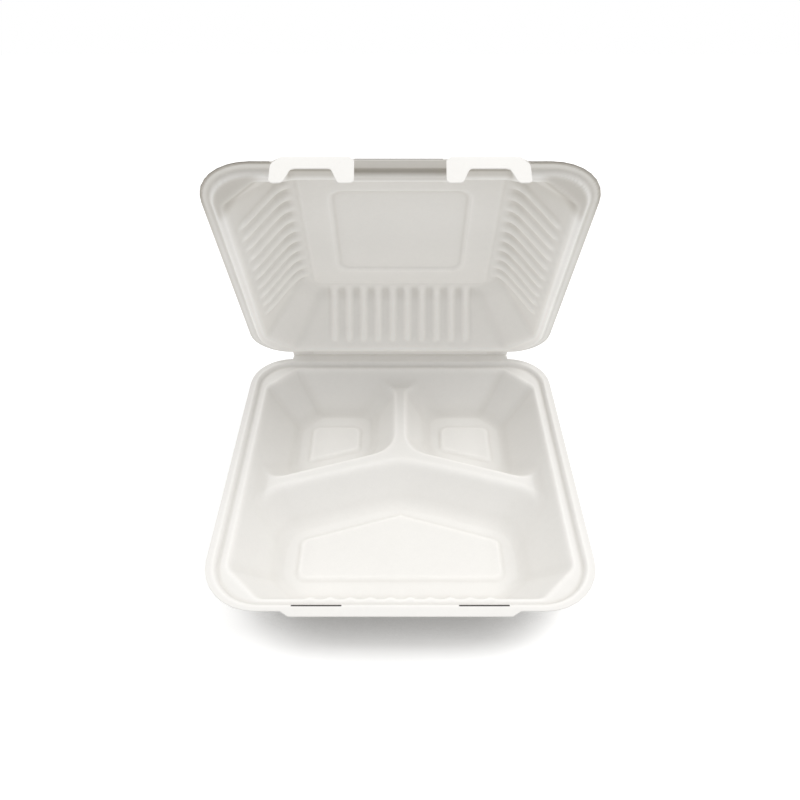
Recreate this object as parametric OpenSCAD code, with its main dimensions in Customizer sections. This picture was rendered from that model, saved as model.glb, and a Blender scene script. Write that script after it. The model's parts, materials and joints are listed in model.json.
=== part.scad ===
// Moulded fibre clamshell: a square tray with three pockets and a lid that turns on a crease at the back.
// Millimetres. Z is up, the hinge crease is parallel to X, and the front is towards -Y.
// The origin lies on the resting face, on the middle line, at the point of the front pocket's foot.

/* [Overall] */
// Width of the flange from side to side
body_w = 230; // [215:1:250]
// Distance from the hinge crease to the front edge of the flange
body_d = 228; // [215:1:250]
// Height of the tray from the table to the top of its rim
tray_h = 38; // [34:1:46]
// Height of the closed lid above its own rim
lid_h = 38; // [34:1:46]
// Thickness of the moulded sheet
sheet = 0.9; // [0.7:0.1:1.2]
// Angle of the lid from its closed position, as the container is shown
lid_open = 65.3; // [40:0.1:100]

/* [Rim] */
// Radius of the two front corners of the flange
front_r = 34; // [28:1:40]
// Radius of the two corners of the flange beside the hinge
back_r = 30; // [24:1:36]
// Distance from the crease to the flange beside the hinge strip
notch_d = 4.5; // [3:0.5:7]
// Width of the hinge strip
strip_w = 172; // [150:1:180]
// Width of the flat outer band of the rim at the sides
band_side = 4.8; // [4:0.2:6]
// Width of the flat outer band of the rim at the front and back
band_end = 3.8; // [3:0.2:5]
// Depth of the step from the outer band down to the ledge
step_d = 3; // [2:0.5:4]
// Width of that step, measured level
step_w = 2.4; // [2:0.2:3]
// Distance from the flange edge to the mouth of the tray at the sides
margin_side = 12.5; // [11:0.5:15]
// Distance from the flange edge to the mouth of the tray at the front and back
margin_end = 9.5; // [9:0.5:12]
// Size of the slanted corners of the mouth
mouth_cut = 21; // [16:1:26]
// Rounding of the corners of the mouth
mouth_r = 10; // [6:1:14]
// Gap between lid and tray where they seat on each other
seat_gap = 0.3; // [0.2:0.05:0.4]

/* [Floors] */
// Width of the tray's floor
floor_w = 158; // [146:1:166]
// Depth of the tray's floor from front to back
floor_d = 166; // [154:1:174]
// Width of the flat top of the lid
top_w = 154; // [142:1:162]
// Depth of the flat top of the lid
top_d = 150; // [140:1:160]
// Size of the slanted corners of the floor and of the lid's top
base_cut = 15; // [10:1:20]
// Rounding of the corners of the floor and of the lid's top
base_r = 8; // [5:1:11]
// Bevel between a wall and the floor
heel = 4; // [2:0.5:6]

/* [Dividers] */
// Depth of the divider tops below the rim
divider_drop = 15; // [11:1:20]
// Width of the divider tops
divider_w = 8.4; // [7:0.2:10]
// Distance each divider wall runs out on its way to the floor
divider_run = 15.5; // [12:0.5:18]
// Distance of the dividers' meeting point behind the middle of the tray
junction_d = 21.5; // [16:0.5:26]
// Angle of the two front arms to the hinge crease
arm_angle = 18.3; // [12:0.1:24]
// Distance the front walls of the two arms run out on their way to the floor
front_run = 20; // [16:0.5:23]
// Rounding of the front pocket's point at the divider tops
point_r = 50; // [30:1:60]
// Rounding of the back pockets beside the dividers' meeting point
junction_r = 20; // [14:1:22]
// Rounding of the other pocket corners at the divider tops
pocket_r = 13; // [10:1:16]
// Share of those roundings that is left at the floor
base_share = 0.6; // [0.4:0.05:0.8]

/* [Panels] */
// Distance from the edge of a pocket's floor to its raised pad
pad_margin = 12.5; // [10:0.5:15]
// Height of the raised pads above the floor
pad_h = 1.3; // [0.8:0.1:1.8]
// Slope of the sides of the pads and of the lid's panel, measured level
pad_slope = 2.5; // [1.5:0.1:3.5]
// Width and depth of the square panel that stands up on the lid
panel_w = 87; // [70:1:100]
// Height of that panel
panel_h = 1.3; // [0.8:0.1:1.8]
// Rounding of the corners of the pads and of the panel
panel_r = 7; // [4.5:0.5:9]
// Distance from the edge of the lid's top to the shallow step around the panel
rebate_margin = 10.5; // [8:0.5:13]
// Height of that shallow step
rebate_h = 0.4; // [0.3:0.1:0.6]

/* [Ribs] */
// Number of ribs on a wall
rib_count = 10; // [6:1:11]
// Distance from one rib to the next
rib_pitch = 11.4; // [10:0.1:12]
// Radius of a rib's round back
rib_r = 3; // [2.4:0.1:3.6]
// Height of a rib above its wall
rib_h = 1.6; // [1:0.1:2]

/* [Closure] */
// Distance the front lip stands out from the flange
lip_d = 3.3; // [2:0.1:4]
// Half width of the front lip at its edge
lip_half = 62; // [56:1:68]
// Width added to each end of the lip by its slant
lip_slant = 5; // [3:1:8]
// Distance of the slits and the tabs from the middle line
tab_x = 47; // [44:0.5:50]
// Length of each slit in the tray's front band
slit_w = 28; // [22:1:32]
// Width of each slit
slit_gap = 1; // [0.8:0.1:1.4]
// Width of each lid tab
tab_w = 46; // [40:1:50]
// Length of a tab below the lid's rim
tab_h = 17.7; // [15:0.1:20]
// Distance of a tab's inner face from the front edge of the flange
tab_d = 4.4; // [4.2:0.1:5.5]
// Size of the slant at a tab's outer shoulder
tab_shoulder = 8; // [5:0.5:10]
// Width of the slant at a tab's inner shoulder
tab_ease = 4; // [3:0.5:5]
// Width of the notch at a tab's free edge
notch_w = 29; // [24:1:32]
// Width of the notch at its deep end
notch_in_w = 21; // [16:1:23]
// Height of a tab's band above the notch
notch_top = 8; // [6:0.5:10]
// Distance the grip between the tabs stands out from the flange
grip_d = 2; // [1:0.5:3]
// Rounding of the ends of the tabs' legs
leg_r = 2.5; // [1.5:0.5:3]

/* [Hidden] */
$fn = 32;
// Distance by which cutters and joined pieces run past a face
over = sheet / 2;
// Level growth that leaves a slanted wall one sheet thick when it is also moved by a sheet
skin = 0.55 * sheet;
// Heights in the tray
ledge_z = tray_h - step_d;
divider_z = tray_h - divider_drop;
// The closed lid's lower face, its ledge and the inner face of its top
lid_low = tray_h + seat_gap;
lid_ledge = lid_low - step_d;
lid_in = lid_low + lid_h - sheet;
// Level distances of the divider walls from their middle lines, at the divider tops and the floor
arm_rise = tan(arm_angle);
arm_cos = cos(arm_angle);
top_gap = divider_w / 2;
back_gap = top_gap + divider_run;
front_gap = top_gap + front_run;
// The tray's middle is this far behind the origin, which lies halfway between the bevel and the
// pad at the front pocket's point
mid_y = (front_gap + (heel + pad_margin) / 2) / arm_cos - junction_d;
junction_y = mid_y + junction_d;
// Crease, flange edges and the height of the hinge axis
crease_y = mid_y + body_d / 2;
front_y = mid_y - body_d / 2;
back_y = crease_y - notch_d;
axis_z = tray_h + seat_gap / 2;
// A level plan is [half width, front y, back y, corner cut, corner rounding]
mouth = [body_w / 2 - margin_side, front_y + margin_end, back_y - margin_end, mouth_cut, mouth_r];
tray_base = [floor_w / 2, mid_y - floor_d / 2, mid_y + floor_d / 2, base_cut, base_r];
lid_base = [top_w / 2, mid_y - top_d / 2, mid_y + top_d / 2, base_cut, base_r];
divider_plan = between(mouth, tray_base, (ledge_z - divider_z) / (ledge_z - sheet));
heel_plan = between(mouth, tray_base, 1 - heel / (ledge_z - sheet));
lid_heel_plan = between(mouth, lid_base, 1 - heel / (lid_in - lid_ledge));

function mix(a, b, k) = a + (b - a) * k;
function between(a, b, k) = [for (i = [0:4]) mix(a[i], b[i], k)];

// Outline through corners listed counterclockwise, grown by a distance. Each corner gets its own
// rounding: r is one radius or one for each corner, below zero at an inward corner.
function rounded(p, r, grow = 0, steps = 4) = [
    for (i = [0:len(p) - 1])
        let (a = p[i] - p[(i + len(p) - 1) % len(p)], b = p[(i + 1) % len(p)] - p[i])
        let (m = [a[1], -a[0]] / norm(a), n = [b[1], -b[0]] / norm(b), q = is_list(r) ? r[i] : r)
        let (c = p[i] + (grow - q) * (m + n) / (1 + m * n))
        let (turn = atan2(m[0] * n[1] - m[1] * n[0], m * n))
        for (k = [0:(q == 0 ? 0 : steps)])
            let (t = atan2(m[1], m[0]) + turn * k / steps)
            c + q * [cos(t), sin(t)]
];

function slanted(p) = [
    [p[3] - p[0], p[1]], [p[0] - p[3], p[1]], [p[0], p[1] + p[3]], [p[0], p[2] - p[3]],
    [p[0] - p[3], p[2]], [p[3] - p[0], p[2]], [-p[0], p[2] - p[3]], [-p[0], p[1] + p[3]]
];
function level_ring(p, grow = 0) = rounded(slanted(p), p[4], grow);

// Corners of the front pocket on a plan with corner cut c, at a distance from the arms' middle lines
function front_corners(p, c, gap) =
    let (y = junction_y - gap / arm_cos, y_side = y - p[0] * arm_rise)
    concat(
        [[p[0], p[1] + c], [p[0], y_side], [0, y], [-p[0], y_side], [-p[0], p[1] + c]],
        c > 0 ? [[c - p[0], p[1]], [p[0] - c, p[1]]] : []
    );
// The same for the right-hand back pocket
function back_corners(p, c, gap) =
    let (y = junction_y + gap / arm_cos)
    concat(
        [[gap, y - gap * arm_rise], [p[0], y - p[0] * arm_rise], [p[0], p[2] - c]],
        c > 0 ? [[p[0] - c, p[2]]] : [],
        [[gap, p[2]]]
    );

// Outline of a pocket: which is 0 for the front one, 1 for the right and -1 for the left back one
function pocket_ring(which, p, gap, share, grow) =
    let (e = pocket_r * share, r = p[4])
    which == 0
        ? rounded(front_corners(p, p[3], gap), [r, e, point_r * share, e, r, r, r], grow)
        : turned(which, rounded(back_corners(p, p[3], gap), [junction_r * share, e, r, r, e], grow));
function pad_ring(which, grow, r) =
    which == 0
        ? rounded(front_corners(tray_base, 0, front_gap), r, grow)
        : turned(which, rounded(back_corners(tray_base, 0, back_gap), r, grow));
function turned(side, ring) = [for (q = ring) [side * q[0], q[1]]];

// Flange outline, drawn in from the sides and from the front and back
function flange_ring(side = 0, end = 0) =
    let (w = body_w / 2 - side, front = front_y + end, back = back_y - end)
    let (r = [front_r - end, front_r - end, back_r - end, back_r - end])
    rounded([[-w, front], [w, front], [w, back], [-w, back]], r, 0, 8);

// A convex solid through level outlines, each at its own height
module through(rings, heights) {
    spots = [for (i = [0:len(rings) - 1]) for (q = rings[i]) [q[0], q[1], heights[i]]];
    hull() polyhedron(points = spots, faces = [[for (i = [0:len(spots) - 1]) i]]);
}

// The flange with the strip that runs to the crease and ends just short of it
module hinged_flange_plan() {
    polygon(flange_ring());
    root = back_y - 2 * notch_d;
    translate([-strip_w / 2, root]) square([strip_w, crease_y - seat_gap / 3 - root]);
}

// Step of a rim whose outer band lies at height z, drawn in by a gap
module step_body(gap, z) {
    outer = flange_ring(band_side + gap, band_end + gap);
    inner = flange_ring(band_side + step_w + gap, band_end + step_w + gap);
    through([outer, outer, inner], [z + over, z, z - step_d]);
}

module pocket(which, grow, drop) {
    run = which == 0 ? front_run : divider_run;
    heel_gap = top_gap + run * (1 - heel / (divider_z - sheet));
    through(
        [
            pocket_ring(which, divider_plan, top_gap, 1, grow),
            pocket_ring(which, heel_plan, heel_gap, base_share, grow),
            pocket_ring(which, tray_base, top_gap + run, base_share, grow - heel)
        ],
        [divider_z - drop, sheet + heel - drop, sheet - drop]
    );
}

// Raised pad on a pocket's floor at height z, or the hollow under it
module pad(which, z) {
    foot = pad_ring(which, -pad_margin, panel_r);
    head = pad_ring(which, -pad_margin - pad_slope, panel_r - pad_slope);
    through([foot, foot, head], [z - over, z, z + pad_h]);
}

// All that lies inside the tray below its ledge; grown and lowered it is the tray's outside
module basin(grow, drop) {
    rim = level_ring(mouth, grow);
    low = level_ring(divider_plan, grow);
    through([rim, rim, low], [ledge_z - drop + over, ledge_z - drop, divider_z - drop]);
    for (which = [-1, 0, 1]) {
        pocket(which, grow, drop);
    }
}

// Ribs on one wall: cylinders laid along it from its mouth to its base, at distances from the middle
module wall_ribs(turn, mouth_far, mouth_z, base_far, base_z, r, start) {
    run = mouth_far - base_far;
    rise = base_z - mouth_z;
    sink = sign(rise) * (rib_r - rib_h);
    translate([0, mid_y, 0]) rotate(turn) for (i = [0:rib_count - 1]) {
        translate([(i - (rib_count - 1) / 2) * rib_pitch, -mouth_far, mouth_z])
            rotate([-atan2(run, rise), 0, 0]) translate([0, -sink, start])
                cylinder(h = norm([rise, run]) - start + over, r = r, $fn = 12);
    }
}

module tray_ribs(r, start) {
    wall_ribs(0, mid_y - mouth[1], ledge_z, mid_y - tray_base[1], sheet, r, start);
}

// Front lip of the tray, with slanted ends
module lip_plan() {
    root = front_y + band_end / 2;
    wide = lip_half + lip_slant;
    polygon([
        [-wide, root], [-wide, front_y], [-lip_half, front_y - lip_d],
        [lip_half, front_y - lip_d], [wide, front_y], [wide, root]
    ]);
}

module tray() {
    color([0.95, 0.945, 0.93]) difference() {
        union() {
            translate([0, 0, tray_h - sheet]) linear_extrude(sheet) {
                hinged_flange_plan();
                lip_plan();
            }
            step_body(-sheet / 2, tray_h - sheet);
            basin(skin, sheet);
        }
        tray_ribs(rib_r - sheet, 2 * sheet);
        step_body(0, tray_h);
        difference() {
            basin(0, 0);
            tray_ribs(rib_r, -over);
            for (which = [-1, 0, 1]) {
                pad(which, sheet);
            }
        }
        for (which = [-1, 0, 1]) {
            pad(which, 0);
        }
        for (s = [-1, 1]) {
            translate([s * tab_x - slit_w / 2, front_y + band_end - slit_gap / 2, ledge_z])
                cube([slit_w, slit_gap, step_d + over]);
        }
    }
}

function panel_ring(shrink = 0) =
    let (h = panel_w / 2 - shrink)
    rounded([[-h, mid_y - h], [h, mid_y - h], [h, mid_y + h], [-h, mid_y + h]], panel_r - shrink);

// Square panel that stands up on the lid's top at height z
module panel(z) {
    through([panel_ring(), panel_ring(), panel_ring(pad_slope)], [z - over, z, z + panel_h]);
}

// Shallow sunk field around the panel, below height z
module rebate_ring(z) {
    difference() {
        translate([0, 0, z - rebate_h]) linear_extrude(rebate_h + over)
            polygon(level_ring(lid_base, -rebate_margin));
        panel(z);
    }
}

module lid_ribs(r, start) {
    for (turn = [0, 90, 180, 270]) {
        side = turn % 180 == 90;
        mouth_far = side ? mouth[0] : turn == 0 ? mid_y - mouth[1] : mouth[2] - mid_y;
        wall_ribs(turn, mouth_far, lid_ledge, side ? top_w / 2 : top_d / 2, lid_in, r, start);
    }
}

// All that lies inside the closed lid above its ledge; grown and raised it is the lid's outside
module dome(grow, lift) {
    rim = level_ring(mouth, grow);
    through(
        [rim, rim, level_ring(lid_heel_plan, grow), level_ring(lid_base, grow - heel)],
        [lid_ledge + lift - over, lid_ledge + lift, lid_in + lift - heel, lid_in + lift]
    );
}

// The rim's bead stops in front of each tab's notch: a block up to a height above the ledge,
// longer than the notch by an amount at each end
module bead_relief(height, longer) {
    for (s = [-1, 1]) {
        translate([s * tab_x - notch_w / 2 - longer, front_y - over, lid_ledge - over])
            cube([notch_w + 2 * longer, margin_end + step_d, height + over]);
    }
}

module tab_root_plan() {
    inner = tab_x - tab_w / 2;
    outer = tab_x + tab_w / 2;
    edge = front_y - tab_d - over;
    root = front_y + band_end / 2;
    polygon([
        [inner, root], [inner, front_y], [inner + tab_ease + over, edge],
        [outer - tab_shoulder - over, edge], [outer, front_y], [outer, root]
    ]);
}

// Face of a tab, with x from the middle line and y down from the top of the fold
module tab_face() {
    inner = tab_x - tab_w / 2;
    outer = tab_x + tab_w / 2;
    foot = -tab_h - sheet;
    r = leg_r;
    polygon(rounded(
        [
            [inner + tab_ease, 0], [inner, -tab_ease / 2], [inner, foot],
            [tab_x - notch_w / 2, foot], [tab_x - notch_in_w / 2, -notch_top],
            [tab_x + notch_in_w / 2, -notch_top], [tab_x + notch_w / 2, foot],
            [outer, foot], [outer, -tab_shoulder], [outer - tab_shoulder, 0]
        ],
        [0, 0, r, r, -r, -r, r, r, 0, 0]
    ));
}

module tabs() {
    for (s = [-1, 1]) {
        scale([s, 1]) {
            translate([0, 0, lid_low]) linear_extrude(sheet) tab_root_plan();
            translate([0, front_y - tab_d, lid_low + sheet]) rotate([90, 0, 0])
                linear_extrude(sheet) tab_face();
        }
    }
}

module grip_plan() {
    half = tab_x - tab_w / 2;
    translate([-half, front_y - grip_d]) square([2 * half, grip_d + band_end]);
}

// The lid's band with its bead, which is hollow above
module lid_rim() {
    difference() {
        union() {
            translate([0, 0, lid_low]) linear_extrude(sheet) {
                hinged_flange_plan();
                grip_plan();
            }
            step_body(seat_gap, lid_low);
        }
        difference() {
            step_body(seat_gap + sheet / 2, lid_low + sheet);
            bead_relief(step_d + 2 * sheet, sheet);
        }
    }
}

// The lid as it lies closed on the tray
module closed_lid() {
    difference() {
        union() {
            lid_rim();
            tabs();
            dome(skin, sheet);
            panel(lid_in + sheet);
        }
        bead_relief(step_d, 0);
        lid_ribs(rib_r - sheet, 2 * step_d + sheet);
        rebate_ring(lid_in + sheet);
        difference() {
            union() {
                dome(0, 0);
                panel(lid_in);
            }
            lid_ribs(rib_r, step_d);
            rebate_ring(lid_in);
        }
    }
}

module lid() {
    color([0.94, 0.935, 0.92]) translate([0, crease_y, axis_z]) rotate([-lid_open, 0, 0])
        translate([0, -crease_y, -axis_z]) closed_lid();
}

tray();
lid();
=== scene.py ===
"""Moulded fibre clamshell, open as in the photograph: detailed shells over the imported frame, light and camera.

Lengths inside the shape functions are in millimetres. Tray and lid are drawn as bowls in one closed position:
x to the right, y from the middle of the tray towards the crease, level above the rim's outer band. The lid's
level is upside down.
"""
import json
import math

import bpy
import numpy as np
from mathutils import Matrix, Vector


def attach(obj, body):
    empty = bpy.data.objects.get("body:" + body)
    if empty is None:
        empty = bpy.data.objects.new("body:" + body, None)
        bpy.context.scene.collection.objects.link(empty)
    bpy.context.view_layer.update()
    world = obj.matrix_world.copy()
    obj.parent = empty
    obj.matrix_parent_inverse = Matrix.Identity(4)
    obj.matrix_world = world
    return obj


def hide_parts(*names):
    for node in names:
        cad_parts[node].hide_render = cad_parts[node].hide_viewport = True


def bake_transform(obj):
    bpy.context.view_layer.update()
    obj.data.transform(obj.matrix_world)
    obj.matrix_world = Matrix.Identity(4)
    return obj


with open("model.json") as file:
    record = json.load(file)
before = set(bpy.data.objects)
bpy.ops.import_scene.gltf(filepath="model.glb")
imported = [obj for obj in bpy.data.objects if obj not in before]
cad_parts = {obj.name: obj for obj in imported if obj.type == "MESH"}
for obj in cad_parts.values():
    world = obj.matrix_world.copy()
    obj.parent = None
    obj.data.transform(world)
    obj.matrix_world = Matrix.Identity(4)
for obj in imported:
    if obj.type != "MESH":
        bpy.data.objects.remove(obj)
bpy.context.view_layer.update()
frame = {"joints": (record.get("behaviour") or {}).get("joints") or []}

MM = 0.001

# The frame: crease and middle of the tray
JOINT = frame["joints"][0]
CREASE_Y = JOINT["pos_m"][1] / MM
AXIS_Z = JOINT["pos_m"][2] / MM
OPEN = math.radians(-JOINT["range_deg"][0])
CREASE = 114.0
MID_Y = CREASE_Y - CREASE
TRAY_H = 38.0
SEAT_GAP = 0.3
SHEET = 0.9

# Rim
HALF_W = 115.0
BACK = CREASE - 4.5
FRONT_R = 34.0
BACK_R = 30.0
STRIP = 86.0
BAND = (4.8, 3.8)
STEP_W = 2.4
STEP_D = 3.0

# Bowls: half width, front, back, corner cut, level
TRAY_MOUTH = (102.5, -104.5, 100.0, 21.0)
LID_MOUTH = (102.5, -101.0, 100.0, 21.0)
TRAY_FLOOR = (79.0, -83.0, 83.0, 15.0, -37.0)
LID_TOP = (77.0, -75.0, 75.0, 15.0, -36.6)

# Dividers
DIVIDER_LEVEL = -15.0
DIVIDER_HALF = 4.2
JUNCTION = 21.5
ARM = math.radians(18.3)
FRONT_SLOPE = 22.1 / 20.0
BACK_SLOPE = 22.1 / 15.5

# Ribs
RIB_PITCH = 11.4
RIB_COUNT = 10
RIB_H = 1.9


def smax(a, b, k):
    """The larger of two heights, with a soft change from one to the other."""
    h = np.clip(0.5 + 0.5 * (a - b) / k, 0, 1)
    return b + (a - b) * h + k * h * (1 - h)


def smin(a, b, k):
    return -smax(-a, -b, k)


def ease(t, a, b):
    """0 before a, 1 after b, smooth between."""
    s = np.clip((t - a) / (b - a), 0, 1)
    return s * s * (3 - 2 * s)


def ramp(t, width, soft=0.25):
    """0 to 1 across a width as a straight slope with rounded ends."""
    return smin(smax(t / width, 0 * t, soft), 1 + 0 * t, soft)


def flange_depth(x, y, side, end):
    """Distance inside the flange outline drawn in by side and end."""
    cy = (BACK - CREASE) / 2
    r = np.where(y < cy, FRONT_R, BACK_R) - end
    qx = np.abs(x) - (HALF_W - side - r)
    qy = np.abs(y - cy) - ((BACK + CREASE) / 2 - end - r)
    return r - np.hypot(np.maximum(qx, 0), np.maximum(qy, 0)) - np.minimum(np.maximum(qx, qy), 0)


def walls(x, y, mouth, rim, base, k):
    """Sloping walls of a bowl from its mouth at level rim down to base, without a floor."""
    ax = np.abs(x)
    drop = rim - base[4]
    w, f, b, c = mouth
    bw, bf, bb, bc = base[:4]
    side = rim - (w - ax) * drop / (w - bw)
    front = rim - (y - f) * drop / (bf - f)
    back = rim - (b - y) * drop / (b - bb)
    cut_f, cut_fb = w - c - f, bw - bc - bf
    cut_b, cut_bb = w - c + b, bw - bc + bb
    corner_f = rim - (cut_f - (ax - y)) * drop / (cut_f - cut_fb)
    corner_b = rim - (cut_b - (ax + y)) * drop / (cut_b - cut_bb)
    s = smax(side, corner_f, k)
    s = smax(s, front, k)
    s = smax(s, corner_b, k)
    return smax(s, back, k)


RIB_HALF = 4.9
LOBE_HALF = 4.0
LOBE_SHARE = 0.55


def rib_profile(t, half_width=RIB_HALF):
    """Share of a rib's height across a wall, at a distance t from the wall's middle."""
    i = np.clip(np.floor(t / RIB_PITCH), -RIB_COUNT // 2, RIB_COUNT // 2 - 1)
    d = np.abs(t - (i + 0.5) * RIB_PITCH)
    return 1 - ease(d, 0.2, half_width)


def lean(x, y, base):
    """Length along a height function's slope for each level unit."""
    e = 0.2
    gx = (base(x + e, y) - base(x - e, y)) / (2 * e)
    gy = (base(x, y + e) - base(x, y - e)) / (2 * e)
    return np.sqrt(1 + gx * gx + gy * gy)


# Tray


# How softly forms run into each other: pocket corners at the dividers' ends, floors, the dividers' two edges
FRONT_FLARE = 19.0
BACK_FLARE = 22.0
FRONT_FLOOR_SOFT = 5.5
BACK_FLOOR_SOFT = 5.0
FRONT_EDGE_SOFT = 2.4
BACK_EDGE_SOFT = 1.3


def tray_pockets(x, y):
    """Level of the tray's inside: walls, floor, and the dividers where front and back pockets meet."""
    ax = np.abs(x)
    w = walls(x, y, TRAY_MOUTH, -STEP_D, TRAY_FLOOR, 3.5)
    floor = TRAY_FLOOR[4] + 0 * x
    line = y - JUNCTION
    front = -(line + soft_x(x) * math.tan(ARM)) * math.cos(ARM) - DIVIDER_HALF
    arm = (line + ax * math.tan(ARM)) * math.cos(ARM) - DIVIDER_HALF
    back = smin(arm, ax - DIVIDER_HALF, 16.0)
    wall_f = DIVIDER_LEVEL - front * FRONT_SLOPE
    wall_b = DIVIDER_LEVEL - back * BACK_SLOPE
    pocket_f = smax(smax(w, wall_f, FRONT_FLARE), floor, FRONT_FLOOR_SOFT)
    pocket_b = smax(smax(w, wall_b, BACK_FLARE), floor, BACK_FLOOR_SOFT)
    bowl = smax(w, floor, FRONT_FLOOR_SOFT)
    top = smax(w, DIVIDER_LEVEL + 0 * x, 5.0) - bowl
    f, b = pocket_f - bowl, pocket_b - bowl
    with_f = smin(top, f, FRONT_EDGE_SOFT * np.clip((top + f) / 4.0, 0.02, 1))
    with_b = smin(top, b, BACK_EDGE_SOFT * np.clip((top + b) / 4.0, 0.02, 1))
    return bowl + np.minimum(with_f, with_b)


def soft_x(x):
    """Distance from the middle plane, rounded off at the front pocket's point."""
    return np.sqrt(x * x + 11.0**2)


PAD_SIDE = 66.6
PAD_FRONT = -69.6
PAD_BACK = 69.6
BACK_PAD_IN = 30.0
BACK_PAD_OUT = 68.6
PAD_EDGE = 2.2
PAD_H = 1.2


def tray_pads(x, y):
    """Height of the raised pads on the pockets' floors."""
    ax = np.abs(x)
    slant = math.cos(ARM)
    front = smin(smin(PAD_SIDE - ax, y - PAD_FRONT, 7.0), (-16.6 - 0.322 * ax - y) * slant, 4.0)
    back = smin(smin(ax - BACK_PAD_IN, BACK_PAD_OUT - ax, 3.0), PAD_BACK - y, 6.0)
    back = smin(back, (y - 53.4 + 0.322 * ax) * slant, 3.0)
    return PAD_H * (ramp(front, PAD_EDGE) + ramp(back, PAD_EDGE))


def tray_level(x, y):
    rim = -STEP_D * ramp(flange_depth(x, y, *BAND), STEP_W)
    lobes = LOBE_SHARE * rib_profile(x, LOBE_HALF) * ease(-y, 80, 86) * (y < 0)
    inside = tray_pockets(x, y) + RIB_H * lobes * lean(x, y, tray_pockets)
    level = smin(rim, inside, 1.5)
    return level + tray_pads(x, y)


# Lid


def bead(x, y):
    """Share of the lid's bead that is there: it stops behind each tab's notch."""
    gap = 1 - ramp(np.abs(np.abs(x) - 47.0) - 13.5, 3.0)
    return 1 - gap * (y < -60)


def lid_bowl(x, y):
    return smax(walls(x, y, LID_MOUTH, STEP_D, LID_TOP, 3.5), LID_TOP[4] + 0 * x, 6.0)


def rib_spine(x, y):
    """Level of the ribs' backs: they cut the bend between wall and top shorter than the sheet does."""
    return smax(walls(x, y, LID_MOUTH, STEP_D, LID_TOP, 3.5), LID_TOP[4] + 0 * x, 11.0)


PANEL_HALF = 46.3
PANEL_CORNER = 9.0
PANEL_H = 1.8
PANEL_EDGE = 2.4
BORDER = (66.5, 64.5)
BORDER_H = 0.4
BORDER_EDGE = 1.6
LID_BAND_FRONT = 6.0


def lid_level(x, y):
    ax = np.abs(x)
    w, f, b, _ = LID_MOUTH
    base = lid_bowl(x, y)
    spine = rib_spine(x, y) + RIB_H * lean(x, y, lid_bowl) - base
    share = rib_profile(y) * along_wall(w - ax)
    share = share + rib_profile(x) * (along_wall(y - f) + along_wall(b - y))
    inside = base + spine * share
    panel = smin(PANEL_HALF - ax, PANEL_HALF - np.abs(y), PANEL_CORNER)
    border = smin(BORDER[0] - ax, BORDER[1] - np.abs(y), 5.0)
    band_end = np.where(y < 0, LID_BAND_FRONT, BAND[1] + SEAT_GAP)
    rim = STEP_D * ramp(flange_depth(x, y, BAND[0] + SEAT_GAP, band_end), STEP_W, 0.2) * bead(x, y)
    return smin(rim, inside, 1.5) - PANEL_H * ramp(panel, PANEL_EDGE) + BORDER_H * ramp(border, BORDER_EDGE)


def along_wall(s):
    """How strongly a lid rib stands at a distance in from the mouth: up the wall and a little way onto the top."""
    return ease(s, 2.0, 8.0) * (1 - ease(s, 27.0, 36.0))


# From a bowl to its place


FOLD_START = CREASE + 2.4
FOLD_R = 2.0


def fold(q, level):
    """The tabs: past the fold the sheet runs down. q is the length along the sheet, towards -y."""
    run = -q - FOLD_START
    bend = np.clip(run, 0, FOLD_R * math.pi / 2)
    angle = bend / FOLD_R
    straight = np.maximum(run - FOLD_R * math.pi / 2, 0)
    y = np.where(run > 0, -(FOLD_START + FOLD_R * np.sin(angle)), q)
    down = np.where(run > 0, FOLD_R * (1 - np.cos(angle)) + straight, 0)
    return y, level + down


def wave(x, y, phase):
    """The slight unevenness of a moulded sheet, in millimetres."""
    wide = 0.06 * np.sin(x / 23.0 + phase) * np.sin(y / 19.0 + 1.3 * phase)
    return wide + 0.03 * np.sin(x / 7.3 + y / 9.1 + phase)


# For the painted shade in creases and painted highlight on ridges: radius of a ring around a place, the step that
# counts in full, and its share in tray and lid
RINGS = ((2.2, 0.45, 0.5, 0.5), (7.0, 3.0, 0.12, 0.3), (16.0, 9.0, 0.0, 0.15))


def painted_light(x, y, level, which):
    """From -1 in a crease to 1 on a ridge: how far a place stands out from what lies around it, which sets painted
    shade in creases and painted highlight on ridges.
    """
    turns = np.arange(8) * math.pi / 4
    total = 0 * x
    for radius, full, *parts in RINGS:
        around = sum(level(x + radius * math.cos(t), y + radius * math.sin(t)) for t in turns) / len(turns)
        total = total + parts[which] * np.clip((level(x, y) - around) / lean(x, y, level) / full, -1, 1)
    return total


def at_crease(x, y):
    """1 on the strips beside the crease, where the fibre's colour is made lighter."""
    return ease(y, 105, 109) * (1 - ease(np.abs(x), STRIP, STRIP + 8))


# Painted shade in the tray's creases and painted highlight on its ridges, lighter beside the crease
def tray_painted_light(x, row):
    y = tray_y(x, row)
    return painted_light(x, y, tray_level, 0) + 0.8 * at_crease(x, y)


# Painted shadow: place and width of a dark line along the step behind the grip, and the half width of the painted
# shade over the grip
SHADOW_LINE_AT = -107.7
SHADOW_LINE_W = 1.1
GRIP_HALF = 62.0


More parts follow.
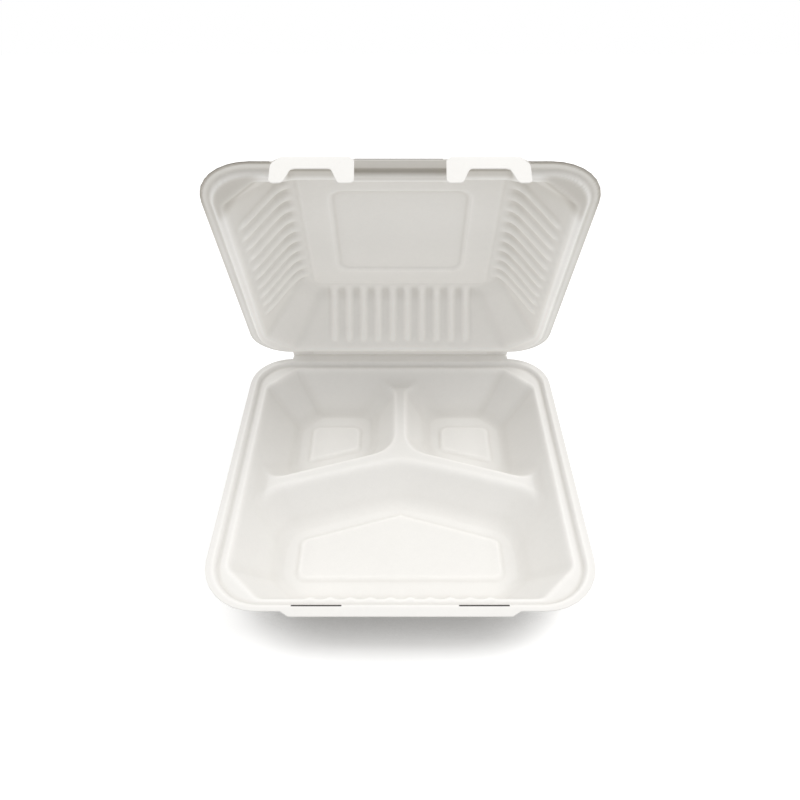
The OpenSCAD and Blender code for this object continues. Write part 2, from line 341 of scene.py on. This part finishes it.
def lid_painted_light(x, q):
    """The lid's painted shade in creases and painted highlight on ridges, lighter beside the crease; more painted
    shade in a line behind the grip, over the grip, round the front corners and along the outer edge outside the
    tabs, most towards the front; and darker towards the front, lighter towards the crease.
    """
    ax = np.abs(x)
    depth = flange_depth(x, q, 0, 0)
    # Painted shade: the line behind the grip, over the grip, round the front corners and along the outer edge;
    # then darker towards the front, lighter towards the crease
    shadow_line = np.exp(-(((q - SHADOW_LINE_AT) / SHADOW_LINE_W) ** 2)) * (ax < 60)
    grip_shade = (ax < GRIP_HALF) * ease(-q, 101, 104)
    corner_shade = ease(ax, 74, 84) * ease(ax - q, 168, 180) * ease(depth, 7, 9)
    edge = (1 - ease(depth, 0.9, 2.3)) * (ax > 69)
    painted_shade = 1.3 * corner_shade + 1.6 * shadow_line + 0.9 * grip_shade + edge * (0.7 + 1.5 * ease(-q, 60, 90))
    painted_shade = painted_shade + 0.6 * ease(-q, 10, 90) - 0.45 * ease(q, 5, 60)
    return (painted_light(x, q, lid_level, 1) + 0.8 * at_crease(x, q) - painted_shade) * (q > -FOLD_START + 1)


# Rows of the tray's grid near the dividers' arms run along the arms
ROW_BEND = ((-80.0, -2.0, 42.0, 79.0), (0.0, 1.0, 1.0, 0.0))


def tray_y(x, row):
    return row - np.interp(row, *ROW_BEND) * soft_x(x) * math.tan(ARM)


def tray_place(x, row):
    q = tray_y(x, row)
    level = tray_level(x, q) + wave(x, q, 0.4) * ease(flange_depth(x, q, 0, 0), 8, 20)
    return np.stack([x, q + MID_Y, TRAY_H + level], -1)


def lid_place(x, q):
    y = np.maximum(q, -FOLD_START)
    level = lid_level(x, y) + wave(x, y, 2.1) * ease(flange_depth(x, y, 0, 0), 8, 20)
    y, level = fold(q, level)
    return opened(np.stack([x, y + MID_Y, TRAY_H + SEAT_GAP - level], -1))


def opened(p):
    """Turns points of the closed lid to the rest position."""
    c, s = math.cos(-OPEN), math.sin(-OPEN)
    y, z = p[..., 1] - CREASE_Y, p[..., 2] - AXIS_Z
    return np.stack([p[..., 0], CREASE_Y + c * y - s * z, AXIS_Z + s * y + c * z], -1)


# Outlines


def rounded(points, radii, steps=8):
    """Closed outline with each corner rounded; radii are 0 or more, for corners of either turn."""
    out = []
    n = len(points)
    for i in range(n):
        a, p, b = (np.array(points[(i + j) % n], float) for j in (-1, 0, 1))
        u, v = (p - a) / np.linalg.norm(p - a), (b - p) / np.linalg.norm(b - p)
        turn = math.atan2(u[0] * v[1] - u[1] * v[0], u @ v)
        if radii[i] == 0 or abs(turn) < 1e-3:
            out.append(p)
            continue
        t = radii[i] * math.tan(abs(turn) / 2)
        side = math.copysign(1, turn)
        c = p - u * t + side * radii[i] * np.array([-u[1], u[0]])
        start = math.atan2(*(p - u * t - c)[::-1])
        for k in range(steps + 1):
            g = start + turn * k / steps
            out.append(c + radii[i] * np.array([math.cos(g), math.sin(g)]))
    return np.array(out)


def mirrored(half, radii):
    """Outline from its right half, listed from the front middle to the back middle."""
    left = [(-x, y) for x, y in reversed(half)]
    return rounded(list(half) + left, list(radii) + list(reversed(radii)))


STRIP_END = 0.3
TRAY_OUTLINE = mirrored(
    [
        (62, -117.3), (67, -CREASE), (HALF_W, -CREASE), (HALF_W, BACK), (STRIP, BACK),
        (STRIP, CREASE - STRIP_END),
    ],
    [0.8, 1.5, FRONT_R, BACK_R - 1.2, 1.2, 0],
)
SLIT_MIDDLE = 47
SLIT_HALF = 14
SLIT_Y = (-110.9, -109.5)


def slit(middle):
    """Outline of one slit."""
    left, right = middle - SLIT_HALF, middle + SLIT_HALF
    return np.array([(left, SLIT_Y[0]), (right, SLIT_Y[0]), (right, SLIT_Y[1]), (left, SLIT_Y[1])])


SLITS = [slit(-SLIT_MIDDLE), slit(SLIT_MIDDLE)]
TAB_FOOT = -(FOLD_START + FOLD_R * math.pi / 2 + 16.8)
LID_OUTLINE = mirrored(
    [
        (26.3, -116.0), (27.6, -117.6), (24.3, -121.0), (24.0, TAB_FOOT), (32.5, TAB_FOOT), (36.5, -126.7),
        (57.5, -126.7), (61.5, TAB_FOOT), (68.6, TAB_FOOT), (68.6, -123.4), (62.9, -118.0), (69.0, -114.0),
        (HALF_W, -CREASE), (HALF_W, BACK), (STRIP, BACK), (STRIP, CREASE - STRIP_END),
    ],
    [0.4, 0.4, 1.0, 2.5, 2.5, 2.5, 2.5, 2.5, 2.5, 4.5, 1.2, 1.5, FRONT_R, BACK_R - 1.2, 1.2, 0],
)


def inside(p, loop):
    """Which points lie inside a closed outline."""
    found = np.zeros(len(p), bool)
    a, b = loop, np.roll(loop, -1, 0)
    for (x0, y0), (x1, y1) in zip(a, b):
        if y0 == y1:
            continue
        cross = (y0 > p[:, 1]) != (y1 > p[:, 1])
        found ^= cross & (p[:, 0] < (x1 - x0) * (p[:, 1] - y0) / (y1 - y0) + x0)
    return found


def nearest(p, loops):
    """Nearest point of the outlines to each point."""
    best, where = np.full(len(p), 1e9), p.copy()
    for loop in loops:
        a, b = loop, np.roll(loop, -1, 0)
        for s, t in zip(a, b):
            d = t - s
            k = np.clip(((p - s) @ d) / (d @ d), 0, 1)[:, None]
            f = s + k * d
            dist = np.hypot(*(p - f).T)
            near = dist < best
            best[near], where[near] = dist[near], f[near]
    return where


def lines(stops):
    """Grid lines through stops (place, spacing up to the next stop); the last one ends the grid."""
    out = []
    for (lo, step), (hi, _) in zip(stops, stops[1:]):
        out.append(np.linspace(lo, hi, max(1, round((hi - lo) / step)), endpoint=False))
    return np.append(np.concatenate(out), stops[-1][0])


def rib_stops():
    """Stops for half a row of ribs, with a grid line on each rib's back."""
    out = []
    for i in range(RIB_COUNT // 2):
        middle = (i + 0.5) * RIB_PITCH
        out += [(middle - 4.0, 1.0), (middle + 4.0, 1.7)]
    return out


def both_sides(stops):
    """Grid lines for stops on the positive side and their mirror image."""
    half = lines(stops)
    return np.concatenate([-half[:0:-1], half])


TORN_DEPTH = 0.4


def shell(name, outline, slits, xs, qs, place, painted_light_at, rough_at, flip):
    """A closed sheet: its inner face follows place(x, q), its outer face lies one sheet behind.

    The argument after place gives the attribute of painted shade in creases and painted highlight on ridges, the
    one after that is 1 where the edge is cut or torn.
    """
    loops = [outline, *slits]
    gx, gq = np.meshgrid(xs, qs)
    cx, cq = (xs[1:] + xs[:-1]) / 2, (qs[1:] + qs[:-1]) / 2
    mx, mq = np.meshgrid(cx, cq)
    centres = np.stack([mx.ravel(), mq.ravel()], -1)
    keep = inside(centres, outline)
    for s in slits:
        keep &= ~inside(centres, s)
    keep = keep.reshape(len(cq), len(cx))
    padded = np.pad(keep, 1)
    around = [padded[:-1, :-1], padded[:-1, 1:], padded[1:, :-1], padded[1:, 1:]]
    count = sum(a.astype(int) for a in around)
    used, edge = count > 0, (count > 0) & (count < 4)
    flat = np.stack([gx, gq], -1)
    flat[edge] = nearest(flat[edge], loops)
    index = np.full(gx.shape, -1)
    index[used] = np.arange(used.sum())
    p = flat[used]
    n = len(p)
    e = 0.06
    here = place(p[:, 0], p[:, 1])
    dx = place(p[:, 0] + e, p[:, 1]) - place(p[:, 0] - e, p[:, 1])
    dq = place(p[:, 0], p[:, 1] + e) - place(p[:, 0], p[:, 1] - e)
    normal = np.cross(dx, dq) * (-1 if flip else 1)
    normal /= np.linalg.norm(normal, axis=1)[:, None]
    back = here - normal * SHEET
    r, c = np.nonzero(keep)
    quads = np.stack([index[r, c], index[r, c + 1], index[r + 1, c + 1], index[r + 1, c]], -1)
    if flip:
        quads = quads[:, ::-1]
    # Rim: each edge that only one quad has, joined to the outer face through a rounded middle
    ends = np.concatenate([np.stack([quads[:, i], quads[:, (i + 1) % 4]], -1) for i in range(4)])
    key = np.sort(ends, 1)
    _, first, times = np.unique(key[:, 0] * n + key[:, 1], return_index=True, return_counts=True)
    rim = ends[first[times == 1]]
    on_rim = np.unique(rim)
    spread = np.zeros((n, 3))
    way = here[rim[:, 1]] - here[rim[:, 0]]
    out = np.cross(way, normal[rim[:, 0]])
    out /= np.maximum(np.linalg.norm(out, axis=1), 1e-9)[:, None]
    np.add.at(spread, rim[:, 0], out)
    np.add.at(spread, rim[:, 1], out)
    spread = spread[on_rim] / np.maximum(np.linalg.norm(spread[on_rim], axis=1), 1e-9)[:, None]
    rough = rough_at(p[:, 0], p[:, 1])
    x_rim, q_rim = p[on_rim, 0], p[on_rim, 1]
    torn = 0.5 + 0.5 * np.sin(x_rim * 2.9 + np.sin(x_rim * 0.7) * 3 + q_rim * 1.7)
    torn *= TORN_DEPTH * rough[on_rim]
    middle = here[on_rim] - normal[on_rim] * SHEET / 2 - spread * torn[:, None]
    here[on_rim] -= spread * 0.22 + normal[on_rim] * 0.08
    back[on_rim] -= spread * 0.22 - normal[on_rim] * 0.08
    to_mid = np.full(n, -1)
    to_mid[on_rim] = 2 * n + np.arange(len(on_rim))
    a, b = rim[:, 0], rim[:, 1]
    inner_half = np.stack([b, a, to_mid[a], to_mid[b]], -1)
    outer_half = np.stack([to_mid[b], to_mid[a], a + n, b + n], -1)
    rim_faces = np.concatenate([inner_half, outer_half])
    verts = np.concatenate([here, back, middle]) * MM
    faces = np.concatenate([quads, quads[:, ::-1] + n, rim_faces])
    mesh = bpy.data.meshes.new(name)
    mesh.vertices.add(len(verts))
    mesh.vertices.foreach_set("co", verts.astype(np.float32).ravel())
    mesh.loops.add(faces.size)
    mesh.loops.foreach_set("vertex_index", faces.astype(np.int32).ravel())
    mesh.polygons.add(len(faces))
    mesh.polygons.foreach_set("loop_start", np.arange(0, faces.size, 4, dtype=np.int32))
    mesh.polygons.foreach_set("loop_total", np.full(len(faces), 4, np.int32))
    mesh.update(calc_edges=True)
    mesh.validate()
    mesh.polygons.foreach_set("use_smooth", np.ones(len(mesh.polygons), bool))
    at_rim = np.concatenate([normal, -normal, spread])
    soft = at_rim.copy()
    soft[on_rim] = normal[on_rim] * 0.8 + spread * 0.6
    soft[on_rim + n] = -normal[on_rim] * 0.8 + spread * 0.6
    loop_n = np.concatenate([at_rim[faces[: 2 * len(quads)].ravel()], soft[faces[2 * len(quads):].ravel()]])
    loop_n /= np.linalg.norm(loop_n, axis=1)[:, None]
    if len(loop_n) == len(mesh.loops):
        mesh.normals_split_custom_set(loop_n.tolist())
    kind = np.zeros(len(mesh.polygons), np.int32)
    kind[len(quads): 2 * len(quads)] = 1
    # Rim faces at the slits and torn edges get the dark edge material, which is painted shade
    kind[2 * len(quads):] = np.tile(np.where(rough[a] > 0.5, 2, 0), 2)
    mesh.polygons.foreach_set("material_index", kind)
    # Attribute of painted shade in creases and painted highlight on ridges, turned round on the outer face
    light_and_shade = painted_light_at(p[:, 0], p[:, 1])
    field = mesh.attributes.new("painted_light", "FLOAT", "POINT")
    both_faces = np.concatenate([light_and_shade, -light_and_shade, light_and_shade[on_rim]])
    field.data.foreach_set("value", both_faces.astype(np.float32))
    obj = bpy.data.objects.new(name, mesh)
    bpy.context.scene.collection.objects.link(obj)
    return obj


RIM_STOPS = [(98.5, 0.8), (105.0, 0.65), (111.5, 0.95), (115.4, 1.0)]
LID_X = both_sides([(0, 1.7), *rib_stops(), (57.5, 1.6), (64.5, 0.65), (67.1, 1.6), (84.0, 2.2), *RIM_STOPS])
TRAY_X = both_sides([
    (0, 0.8), (3.2, 0.45), (5.4, 1.1), (28.5, 1.3), (30.0, 0.6), (32.6, 1.25), (64.0, 0.65), (69.0, 1.3),
    (84.0, 1.7), *RIM_STOPS,
])
LID_FRONT = [
    (TAB_FOOT - 0.3, 0.95), (-127.0, 0.6), (-112.0, 0.65), (-106.0, 0.8), (-98.5, 2.0), (-84.0, 1.3),
    (-65.1, 0.65), (-62.9, 1.6),
]
LID_MIDDLE = [(-a, s) for (a, _), (_, s) in zip(reversed(rib_stops()), reversed([(0, 1.7), *rib_stops()]))]
LID_BACK = [
    (57.5, 1.6), (62.9, 0.65), (65.1, 1.3), (84.0, 2.0), (94.0, 0.8), (101.0, 0.65), (107.0, 0.8),
    (CREASE - STRIP_END, 1),
]
LID_Q = lines([*LID_FRONT, *LID_MIDDLE, (0, 1.7), *rib_stops(), *LID_BACK])
ARM_EDGES = [JUNCTION + s * DIVIDER_HALF / math.cos(ARM) for s in (-1, 1)]
TRAY_Q = lines([
    (-117.6, 0.8), (SLIT_Y[0], 1.4), (SLIT_Y[1], 0.65), (-98.0, 1.6), (-80.0, 1.4), (-70.0, 0.6), (-67.0, 1.5),
    (-16.0, 1.1), (-4.5, 0.9), (ARM_EDGES[0] - 1.2, 0.45), (ARM_EDGES[0] + 1.2, 1.3),
    (ARM_EDGES[1] - 1.2, 0.45), (ARM_EDGES[1] + 1.2, 1.1), (52.0, 1.0), (66.0, 0.65), (70.0, 1.3), (79.0, 1.8),
    (95.0, 0.65), (107.0, 0.8),
    (CREASE - STRIP_END, 1),
])


def slit_edge(x, q):
    """1 at the cut sides of the slits."""
    near_y = np.abs(q - sum(SLIT_Y) / 2) < 1.2
    return (near_y & (np.abs(np.abs(x) - SLIT_MIDDLE) < SLIT_HALF + 0.5)).astype(float)


def torn_edge(x, q):
    """1 where the lid's edge was torn from the mould: along the grip and round the front corners."""
    ax = np.abs(x)
    return ((q < -70) & (q > -118) & ((ax < 24.5) | (ax > 69.5))).astype(float)


tray = shell("tray_shell", TRAY_OUTLINE, SLITS, TRAY_X, TRAY_Q, tray_place, tray_painted_light, slit_edge, False)
lid = shell("lid_shell", LID_OUTLINE, [], LID_X, LID_Q, lid_place, lid_painted_light, torn_edge, True)


def hinge_web():
    """The strip of sheet that runs through the crease, drawn open as at rest."""
    t = SHEET * 0.42
    near, far = MID_Y + CREASE - 0.4, MID_Y + CREASE - 3.0
    low = np.array([far, TRAY_H - SHEET / 2])
    mid_low = np.array([near, TRAY_H - SHEET / 2])
    lid_z = TRAY_H + SEAT_GAP + SHEET / 2
    up = opened(np.array([[0, near, lid_z], [0, far, lid_z]]))[:, 1:]
    reach = up[0] - mid_low
    line = [low]
    for i in range(11):
        k = i / 10
        bow = 4 * k * (1 - k)
        line.append(mid_low + reach * k + np.array([0.55, -0.15]) * bow)
    line.append(up[1])
    line = np.array(line)
    way = np.gradient(line, axis=0)
    way /= np.linalg.norm(way, axis=1)[:, None]
    side = np.stack([-way[:, 1], way[:, 0]], -1)
    loop = np.concatenate([line + side * t, (line - side * t)[::-1]])
    xs = np.linspace(-STRIP + 0.15, STRIP - 0.15, 60)
    m = len(loop)
    verts = [(x * MM, y * MM, z * MM) for x in xs for y, z in loop]
    faces = [
        (i * m + j, i * m + (j + 1) % m, (i + 1) * m + (j + 1) % m, (i + 1) * m + j)
        for i in range(len(xs) - 1)
        for j in range(m)
    ]
    faces += [tuple(range(m))[::-1], tuple((len(xs) - 1) * m + j for j in range(m))]
    mesh = bpy.data.meshes.new("hinge_web")
    mesh.from_pydata(verts, [], faces)
    mesh.validate()
    mesh.polygons.foreach_set("use_smooth", np.ones(len(mesh.polygons), bool))
    obj = bpy.data.objects.new("hinge_web", mesh)
    bpy.context.scene.collection.objects.link(obj)
    return obj, line


web, web_line = hinge_web()


# Materials


# Painted shade and highlight: share of the fibre's colour from painted shade in the deepest crease through plain
# sheet to painted highlight on the top of a ridge
CREASE_SHADES = ((0.50, 0.475, 0.435), (0.83, 0.818, 0.797), (1.0, 1.0, 1.0), (1.16, 1.16, 1.165))


def fibre(name, colour, screen):
    """Moulded fibre: a pale matt felt with faint clouds, painted shade in creases and painted highlight on ridges,
    and the mould's screen on its outer side.
    """
    mat = bpy.data.materials.new(name)
    mat.use_nodes = True
    nt = mat.node_tree
    nodes, link = nt.nodes, nt.links.new
    shader = nodes["Principled BSDF"]
    coord = nodes.new("ShaderNodeTexCoord")

    def noise(scale, detail, rough=0.6, distortion=0.0):
        n = nodes.new("ShaderNodeTexNoise")
        n.inputs["Scale"].default_value = scale
        n.inputs["Detail"].default_value = detail
        n.inputs["Roughness"].default_value = rough
        n.inputs["Distortion"].default_value = distortion
        link(coord.outputs["Object"], n.inputs["Vector"])
        return n.outputs["Fac"]

    def maths(op, a, b):
        n = nodes.new("ShaderNodeMath")
        n.operation = op
        for i, v in enumerate((a, b)):
            if isinstance(v, (int, float)):
                n.inputs[i].default_value = v
            else:
                link(v, n.inputs[i])
        return n.outputs[0]

    clouds = noise(26, 3)
    grain = noise(900, 4, 0.7, 0.4)
    flock = noise(300, 3, 0.65, 0.8)
    mix = maths("ADD", maths("MULTIPLY", clouds, 0.3), maths("MULTIPLY", flock, 0.4))
    mix = maths("ADD", mix, maths("MULTIPLY", grain, 0.3))
    ramp_node = nodes.new("ShaderNodeValToRGB")
    ramp_node.color_ramp.elements[0].position = 0.30
    ramp_node.color_ramp.elements[1].position = 0.70
    ramp_node.color_ramp.elements[0].color = (*[c * 0.975 for c in colour], 1)
    ramp_node.color_ramp.elements[1].color = (*[min(c * 1.02, 0.98) for c in colour], 1)
    link(mix, ramp_node.inputs["Fac"])
    # Painted shade in creases and painted highlight on ridges, from the mesh attribute
    light_and_shade = nodes.new("ShaderNodeAttribute")
    light_and_shade.attribute_name = "painted_light"
    shade_position = nodes.new("ShaderNodeMapRange")
    for key, value in (("From Min", -3), ("From Max", 1), ("To Min", 0), ("To Max", 1)):
        shade_position.inputs[key].default_value = value
    link(light_and_shade.outputs["Fac"], shade_position.inputs["Value"])
    shades = nodes.new("ShaderNodeValToRGB")
    for place, (r, g, b) in zip((0.5, 0.75), CREASE_SHADES[1:3]):
        shades.color_ramp.elements.new(place).color = (r, g, b, 1)
    shades.color_ramp.elements[0].color = (*CREASE_SHADES[0], 1)
    shades.color_ramp.elements[-1].color = (*CREASE_SHADES[3], 1)
    link(shade_position.outputs["Result"], shades.inputs["Fac"])
    shaded_colour = nodes.new("ShaderNodeVectorMath")
    shaded_colour.operation = "MULTIPLY"
    link(ramp_node.outputs["Color"], shaded_colour.inputs[0])
    link(shades.outputs["Color"], shaded_colour.inputs[1])
    link(shaded_colour.outputs[0], shader.inputs["Base Color"])
    shader.inputs["Roughness"].default_value = 0.86
    shader.inputs["Specular IOR Level"].default_value = 0.28
    height = maths("ADD", maths("MULTIPLY", grain, 0.35), maths("MULTIPLY", flock, 0.65))
    if screen:
        weave = nodes.new("ShaderNodeTexWave")
        weave.inputs["Scale"].default_value = 420
        weave.bands_direction = "X"
        cross = nodes.new("ShaderNodeTexWave")
        cross.inputs["Scale"].default_value = 420
        cross.bands_direction = "Y"
        for w in (weave, cross):
            link(coord.outputs["Object"], w.inputs["Vector"])
        net = maths("MULTIPLY", weave.outputs["Fac"], cross.outputs["Fac"])
        height = maths("ADD", height, maths("MULTIPLY", net, 0.5))
    bump = nodes.new("ShaderNodeBump")
    bump.inputs["Strength"].default_value = 0.25
    bump.inputs["Distance"].default_value = 0.0003
    link(height, bump.inputs["Height"])
    soft = nodes.new("ShaderNodeBump")
    soft.inputs["Strength"].default_value = 0.10
    soft.inputs["Distance"].default_value = 0.0015
    link(clouds, soft.inputs["Height"])
    link(soft.outputs["Normal"], bump.inputs["Normal"])
    link(bump.outputs["Normal"], shader.inputs["Normal"])
    return mat


# Tray and lid are one fibre: the lid's paler colour is painted light. The hinge web is paler still.
TRAY_COLOUR = (0.845, 0.832, 0.806)
LID_COLOUR = (0.880, 0.866, 0.836)
HINGE_COLOUR = (0.95, 0.93, 0.89)
# Edge colours are painted shade: a painted shadow in the tray's slits, and painted shade along the lid's torn edge
EDGE_SHADE_COLOUR = {"tray": (0.12, 0.115, 0.105), "lid": (0.42, 0.40, 0.37)}
for obj, node, colour in ((tray, "tray", TRAY_COLOUR), (lid, "lid", LID_COLOUR)):
    obj.data.materials.append(fibre(node + "_fibre", colour, False))
    obj.data.materials.append(fibre(node + "_fibre_screen_side", colour, True))
    obj.data.materials.append(fibre(node + "_cut_edge_shade", EDGE_SHADE_COLOUR[node], False))
    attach(obj, node)
    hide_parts(node)
web.data.materials.append(fibre("hinge_fibre", HINGE_COLOUR, False))
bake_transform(web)


# Floor, light and camera


def seen(nt):
    """1 for rays by which the camera sees a surface, directly, in a reflection or through glass."""
    rays = nt.nodes.new("ShaderNodeLightPath")
    total = rays.outputs["Is Camera Ray"]
    for name in ("Is Glossy Ray", "Is Transmission Ray"):
        add = nt.nodes.new("ShaderNodeMath")
        add.operation = "MAXIMUM"
        nt.links.new(total, add.inputs[0])
        nt.links.new(rays.outputs[name], add.inputs[1])
        total = add.outputs[0]
    return total


# Painted shadow on the floor where the object is this close to it, from open floor down to where the object covers
# it
CLOSE_BY = 0.043
CLOSE_SHADE = 0.52
OPEN_FROM = 0.62
COVERED_AT = 0.34


def pale_floor(colour, lift):
    """A plain pale floor. Where it is seen it is lighter by a second coat, so that only the object's shadow shows,
    and a painted shadow darkens it close to the object."""
    mat = bpy.data.materials.new("floor")
    mat.use_nodes = True
    nt = mat.node_tree
    nt.nodes.clear()
    noise = nt.nodes.new("ShaderNodeTexNoise")
    noise.inputs["Scale"].default_value = 3.0
    shade = nt.nodes.new("ShaderNodeValToRGB")
    shade.color_ramp.elements[0].color = (*[colour * 0.998] * 3, 1)
    shade.color_ramp.elements[1].color = (*[colour] * 3, 1)
    nt.links.new(noise.outputs["Fac"], shade.inputs["Fac"])
    under, coat = (nt.nodes.new("ShaderNodeBsdfDiffuse") for _ in range(2))
    nt.links.new(shade.outputs["Color"], under.inputs["Color"])
    # Painted shadow: ambient occlusion darkens the seen floor close to the object
    near = nt.nodes.new("ShaderNodeAmbientOcclusion")
    near.samples = 8
    near.inputs["Distance"].default_value = CLOSE_BY
    contact_shadow = nt.nodes.new("ShaderNodeValToRGB")
    contact_shadow.color_ramp.elements[0].position = COVERED_AT
    contact_shadow.color_ramp.elements[1].position = OPEN_FROM
    contact_shadow.color_ramp.elements[0].color = (CLOSE_SHADE, CLOSE_SHADE, CLOSE_SHADE, 1)
    contact_shadow.color_ramp.elements[1].color = (1, 1, 1, 1)
    nt.links.new(near.outputs["AO"], contact_shadow.inputs["Fac"])
    coats = []
    for value in (colour, lift):
        dim = nt.nodes.new("ShaderNodeVectorMath")
        dim.operation = "SCALE"
        dim.inputs["Scale"].default_value = value
        nt.links.new(contact_shadow.outputs["Color"], dim.inputs[0])
        coats.append(dim.outputs[0])
    first = nt.nodes.new("ShaderNodeBsdfDiffuse")
    nt.links.new(coats[0], first.inputs["Color"])
    nt.links.new(coats[1], coat.inputs["Color"])
    both = nt.nodes.new("ShaderNodeAddShader")
    nt.links.new(first.outputs[0], both.inputs[0])
    nt.links.new(coat.outputs[0], both.inputs[1])
    pick = nt.nodes.new("ShaderNodeMixShader")
    nt.links.new(seen(nt), pick.inputs["Fac"])
    nt.links.new(under.outputs[0], pick.inputs[1])
    nt.links.new(both.outputs[0], pick.inputs[2])
    out = nt.nodes.new("ShaderNodeOutputMaterial")
    nt.links.new(pick.outputs[0], out.inputs["Surface"])
    return mat


FLOOR_HALF = 1.1
floor_mesh = bpy.data.meshes.new("floor")
floor_corners = [(x * FLOOR_HALF, y * FLOOR_HALF, 0) for x, y in ((-1, -1), (1, -1), (1, 1), (-1, 1))]
floor_mesh.from_pydata(floor_corners, [], [(0, 1, 2, 3)])
floor = bpy.data.objects.new("floor", floor_mesh)
floor.location.z = -0.0002
bpy.context.scene.collection.objects.link(floor)
floor_mesh.materials.append(pale_floor(0.97, 0.30))

FILL = 0.60
world = bpy.data.worlds.new("studio")
bpy.context.scene.world = world
world.use_nodes = True
sky = world.node_tree
fill = sky.nodes["Background"]
fill.inputs["Color"].default_value = (1, 1, 1, 1)
fill.inputs["Strength"].default_value = FILL
white = sky.nodes.new("ShaderNodeBackground")
white.inputs["Color"].default_value = (1, 1, 1, 1)
pick_sky = sky.nodes.new("ShaderNodeMixShader")
sky.links.new(seen(sky), pick_sky.inputs["Fac"])
sky.links.new(fill.outputs[0], pick_sky.inputs[1])
sky.links.new(white.outputs[0], pick_sky.inputs[2])
sky.links.new(pick_sky.outputs[0], sky.nodes["World Output"].inputs["Surface"])

LIGHT_DISTANCE = 1.5


def softbox(name, azimuth, elevation, size, power):
    """A square light that faces the object; azimuth 0 is behind it and 90 to its right."""
    data = bpy.data.lights.new(name, "AREA")
    data.size = size
    data.energy = power
    obj = bpy.data.objects.new(name, data)
    a, e = math.radians(azimuth), math.radians(elevation)
    way = Vector((math.sin(a) * math.cos(e), math.cos(a) * math.cos(e), math.sin(e)))
    obj.location = way * LIGHT_DISTANCE
    obj.rotation_mode = "QUATERNION"
    obj.rotation_quaternion = (-way).to_track_quat("-Z", "Y")
    bpy.context.scene.collection.objects.link(obj)
    return obj


softbox("right_softbox", 84, 48, 0.8, 8.2)
softbox("left_softbox", 276, 48, 0.8, 6.0)
softbox("top_softbox", 90, 76, 0.8, 1.4)

PITCH = math.radians(35.75)
PICTURE = 800
FOCAL_PX = 731.83
CENTRE_PX = (400.23, 321.32)
camera_data = bpy.data.cameras.new("camera")
camera_data.sensor_width = 36
camera_data.lens = 36 * FOCAL_PX / PICTURE
camera_data.shift_x = (PICTURE / 2 - CENTRE_PX[0]) / PICTURE
camera_data.shift_y = (CENTRE_PX[1] - PICTURE / 2) / PICTURE
camera_data.clip_start = 0.01
camera_data.clip_end = 100
camera = bpy.data.objects.new("camera", camera_data)
camera.location = (0, (MID_Y - 349.28) * MM, (TRAY_H + 367.16) * MM)
camera.rotation_euler = (math.pi / 2 - PITCH, 0, 0)
bpy.context.scene.collection.objects.link(camera)
bpy.context.scene.camera = camera
bpy.context.scene.view_settings.view_transform = "Standard"

print("triangles", {o.name: sum(len(p.vertices) - 2 for p in o.data.polygons) for o in (tray, lid, web)})
